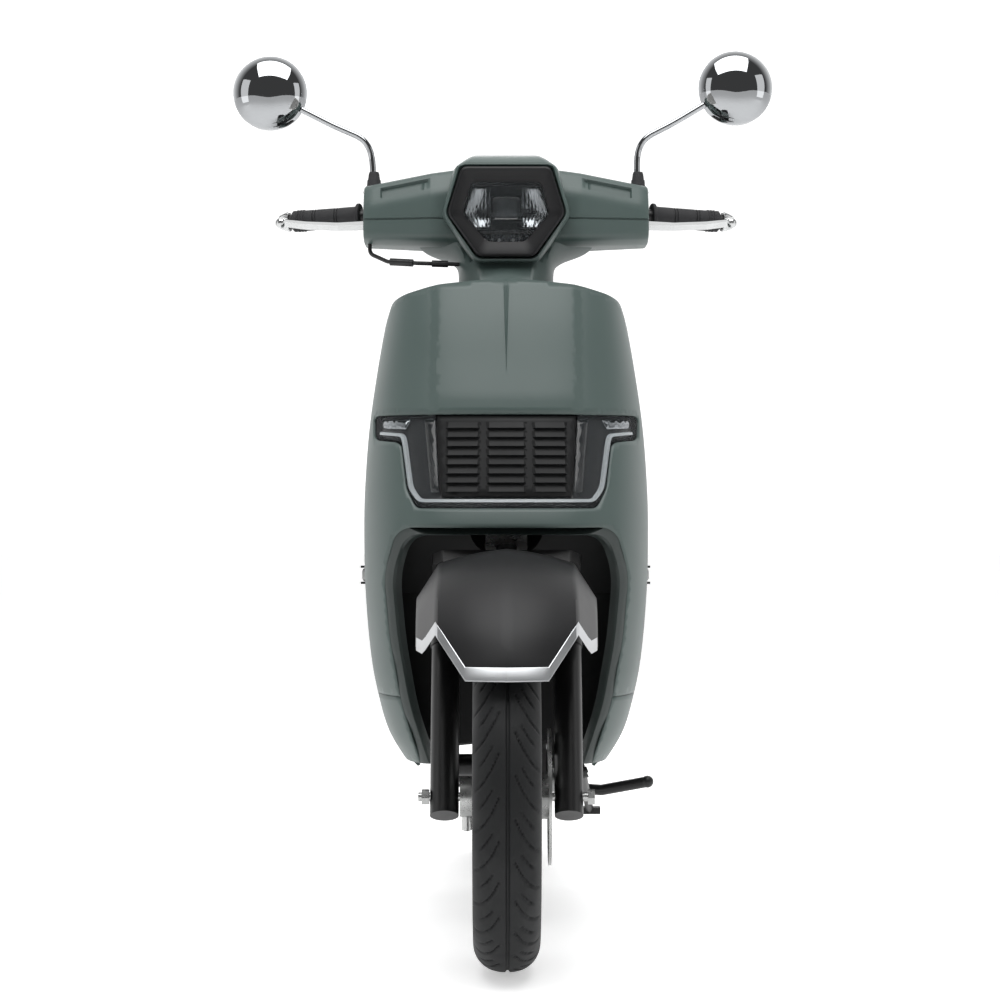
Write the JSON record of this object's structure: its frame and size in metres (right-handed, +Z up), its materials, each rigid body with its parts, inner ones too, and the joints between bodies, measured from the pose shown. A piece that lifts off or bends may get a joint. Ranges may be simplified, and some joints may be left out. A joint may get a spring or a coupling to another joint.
{
  "type": "moped scooter",
  "caption": "Step-through scooter with leg shield, hexagonal headlamp, telescopic fork, swinging engine unit, long seat, round mirrors and folding stands.",
  "frame": {"origin": "on the ground, midway between the front of the front tyre and the end of the rear mudguard, in the middle plane", "axes": "+Z up, the scooter faces -Y, +X is its left side"},
  "size_m": [0.8099, 1.8287, 1.3093],
  "materials": {
    "frame_steel": "black semi-gloss paint",
    "sage_paint": "matt grey-green paint",
    "black_plastic": "grained black plastic",
    "gloss_black": "gloss black plastic",
    "clear_lens": "clear moulded lens",
    "red_lens": "red moulded lens",
    "steel": "zinc-plated steel",
    "chrome": "bright chrome plate",
    "cast_aluminium": "cast aluminium",
    "black_metal": "black paint on metal",
    "rubber": "moulded rubber",
    "tyre": "tyre rubber",
    "seat_cover": "grained seat cover"
  },
  "bodies": {
    "root": {"main_frame": "frame_steel", "headset_bearings": "steel", "pivot_bolts": "steel", "leg_shield": "sage_paint", "front_lamp": "clear_lens", "front_grille": "black_plastic", "inner_leg_shield": "black_plastic", "wheel_arch_liner": "black_plastic", "side_skirts": "sage_paint", "floorboard": "black_plastic", "rear_panels": "sage_paint", "under_seat_bucket": "black_plastic", "fuel_tank": "black_metal", "rear_mudguard": "black_plastic", "tail_lamp": "red_lens", "grab_rail": "black_metal"},
    "steering": {"fork_yoke": "black_metal", "front_mudguard": "black_plastic", "handlebar": "black_metal", "left_grip": "rubber", "handlebar_cover_front": "sage_paint", "handlebar_cover_rear": "sage_paint", "headlamp_bezel": "gloss_black", "headlamp_lens": "clear_lens", "instrument_panel": "gloss_black", "control_cables": "rubber"},
    "throttle": {"throttle_grip": "rubber"},
    "lever_left": {"brake_lever_left": "cast_aluminium"},
    "lever_right": {"brake_lever_right": "cast_aluminium"},
    "horn": {"horn_button": "black_plastic"},
    "starter": {"starter_button": "black_plastic"},
    "turn_signal": {"turn_switch": "black_plastic"},
    "stem_left": {"mirror_stem_left": "chrome"},
    "stem_right": {"mirror_stem_right": "chrome"},
    "head_left": {"mirror_head_left": "chrome"},
    "head_right": {"mirror_head_right": "chrome"},
    "fork": {"fork_sliders": "black_metal", "front_axle": "steel", "brake_caliper": "cast_aluminium"},
    "front_wheel": {"front_rim": "black_metal", "front_tyre": "tyre", "brake_disc": "steel"},
    "engine_unit": {"engine_case": "cast_aluminium", "cvt_cover": "cast_aluminium", "drive_belt": "rubber", "exhaust": "black_metal"},
    "crank": {"crank_pulley": "steel"},
    "clutch": {"clutch_pulley": "steel"},
    "rear_wheel": {"rear_rim": "black_metal", "rear_tyre": "tyre"},
    "damper": {"shock_body": "black_metal", "shock_spring": "black_metal"},
    "damper_rod": {"shock_rod": "steel"},
    "seat": {"seat_base": "black_plastic", "seat_cushion": "seat_cover"},
    "side_stand": {"side_stand": "black_metal"},
    "centre_stand": {"centre_stand": "black_metal"},
    "peg_left": {"footpeg_left": "cast_aluminium"},
    "peg_right": {"footpeg_right": "cast_aluminium"},
    "lock": {"ignition_barrel": "steel"}
  },
  "joints": [
    {"name": "steering_turn", "type": "hinge", "parent": "root", "child": "steering", "pos_m": [0, -0.43254, 0.66882], "axis": [0, 0.4462, 0.8949], "range_deg": [-30, 30]},
    {"name": "fork_travel", "type": "slide", "parent": "steering", "child": "fork", "axis": [0, 0.4462, 0.8949], "range_m": [0, 0.07], "stiffness_N_per_m": 12000, "springref_m": -0.045},
    {"name": "front_wheel_spin", "type": "hinge", "parent": "fork", "child": "front_wheel", "pos_m": [0, -0.681, 0.234], "axis": [1, 0, 0], "continuous": true},
    {"name": "throttle_twist", "type": "hinge", "parent": "steering", "child": "throttle", "pos_m": [-0.27, -0.21349, 1.05872], "axis": [-0.9752, 0.2154, -0.051], "range_deg": [0, 75], "stiffness_Nm_per_rad": 0.4, "springref_deg": -34.38},
    {"name": "brake_lever_left_pull", "type": "hinge", "parent": "steering", "child": "lever_left", "pos_m": [0.19, -0.27464, 1.044], "axis": [0, -0.5, 0.866], "range_deg": [0, 14], "stiffness_Nm_per_rad": 4, "springref_deg": -17.19},
    {"name": "brake_lever_right_pull", "type": "hinge", "parent": "steering", "child": "lever_right", "pos_m": [-0.19, -0.27464, 1.044], "axis": [0, 0.5, -0.866], "range_deg": [0, 14], "stiffness_Nm_per_rad": 4, "springref_deg": -17.19},
    {"name": "horn_press", "type": "slide", "parent": "steering", "child": "horn", "axis": [0, -1, 0], "range_m": [0, 0.003], "stiffness_N_per_m": 600, "springref_m": -0.002},
    {"name": "starter_press", "type": "slide", "parent": "steering", "child": "starter", "axis": [0, -1, 0], "range_m": [0, 0.003], "stiffness_N_per_m": 600, "springref_m": -0.002},
    {"name": "turn_switch_slide", "type": "slide", "parent": "steering", "child": "turn_signal", "axis": [1, 0, 0], "range_m": [-0.003, 0.003]},
    {"name": "mirror_stem_left_swivel", "type": "hinge", "parent": "steering", "child": "stem_left", "pos_m": [0.198, -0.238, 1.086], "axis": [-0.0349, 0, 0.9994], "range_deg": [-25, 25]},
    {"name": "mirror_left_tilt", "type": "hinge", "parent": "stem_left", "child": "head_left", "pos_m": [0.303, -0.2432, 1.23125], "axis": [1, 0, 0], "range_deg": [-10, 10]},
    {"name": "mirror_stem_right_swivel", "type": "hinge", "parent": "steering", "child": "stem_right", "pos_m": [-0.198, -0.238, 1.086], "axis": [-0.0349, 0, 0.9994], "range_deg": [-25, 25]},
    {"name": "mirror_right_tilt", "type": "hinge", "parent": "stem_right", "child": "head_right", "pos_m": [-0.31287, -0.2432, 1.22358], "axis": [1, 0, 0], "range_deg": [-10, 10]},
    {"name": "engine_swing", "type": "hinge", "parent": "root", "child": "engine_unit", "pos_m": [0, 0.175, 0.262], "axis": [1, 0, 0], "range_deg": [0, 8.5], "stiffness_Nm_per_rad": 2500, "springref_deg": -7.45},
    {"name": "rear_wheel_spin", "type": "hinge", "parent": "engine_unit", "child": "rear_wheel", "pos_m": [0, 0.609, 0.234], "axis": [1, 0, 0], "continuous": true},
    {"name": "crank_spin", "type": "hinge", "parent": "engine_unit", "child": "crank", "pos_m": [0.1, 0.29, 0.262], "axis": [1, 0, 0], "continuous": true},
    {"name": "clutch_spin", "type": "hinge", "parent": "engine_unit", "child": "clutch", "pos_m": [0.1, 0.609, 0.234], "axis": [1, 0, 0], "continuous": true},
    {"name": "damper_tilt", "type": "hinge", "parent": "root", "child": "damper", "pos_m": [0.104, 0.56, 0.6], "axis": [1, 0, 0], "range_deg": [-3, 1]},
    {"name": "damper_slide", "type": "slide", "parent": "damper", "child": "damper_rod", "axis": [0, -0.1465, 0.9892], "range_m": [-0.002, 0.066], "deforming": ["shock_spring"]},
    {"name": "seat_open", "type": "hinge", "parent": "root", "child": "seat", "pos_m": [0, 0.044, 0.704], "axis": [1, 0, 0], "range_deg": [0, 75]},
    {"name": "side_stand_swing", "type": "hinge", "parent": "root", "child": "side_stand", "pos_m": [0.118, -0.095, 0.215], "axis": [0.9397, 0, 0.342], "range_deg": [-62, 0], "stiffness_Nm_per_rad": 6, "springref_deg": 22.92},
    {"name": "centre_stand_swing", "type": "hinge", "parent": "root", "child": "centre_stand", "pos_m": [0, 0.15, 0.185], "axis": [1, 0, 0], "range_deg": [-80, 0], "stiffness_Nm_per_rad": 12, "springref_deg": 34.38},
    {"name": "peg_left_fold", "type": "hinge", "parent": "root", "child": "peg_left", "pos_m": [0.226, 0.196, 0.512], "axis": [0, 0, 1], "range_deg": [-90, 0]},
    {"name": "peg_right_fold", "type": "hinge", "parent": "root", "child": "peg_right", "pos_m": [-0.226, 0.196, 0.512], "axis": [0, 0, 1], "range_deg": [0, 90]},
    {"name": "key_turn", "type": "hinge", "parent": "root", "child": "lock", "pos_m": [-0.048, -0.208, 0.8], "axis": [0, 1, 0], "range_deg": [-90, 0]}
  ],
  "couplings": [
    {"joint": "damper_tilt", "follows": "engine_swing", "ratio": -0.15},
    {"joint": "damper_slide", "follows": "engine_swing", "m_per_rad": 0.428}
  ]
}
